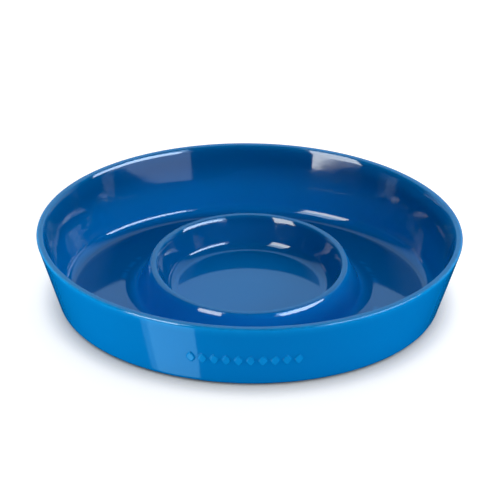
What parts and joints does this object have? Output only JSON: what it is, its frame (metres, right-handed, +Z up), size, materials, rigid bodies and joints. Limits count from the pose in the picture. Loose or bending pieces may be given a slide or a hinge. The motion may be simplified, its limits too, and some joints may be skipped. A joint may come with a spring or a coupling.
{
  "type": "chip and dip server",
  "caption": "Oval glazed stoneware serving dish with leaning walls, a channel for chips and a round dip cup moulded into its middle.",
  "frame": {"origin": "on the table, in the middle of the foot ring, under the centre of the dip cup", "axes": "+Z up, +X along the dish's long way, -Y towards the front wall, which carries the relief"},
  "size_m": [0.32, 0.278, 0.059],
  "materials": {
    "blue_glaze": "high gloss coloured glaze",
    "bare_clay": "matt unglazed fired stoneware, ground flat on the foot"
  },
  "bodies": {
    "root": {"stoneware_body": "bare_clay", "glaze_coat": "blue_glaze", "base_glaze": "blue_glaze"}
  },
  "joints": []
}
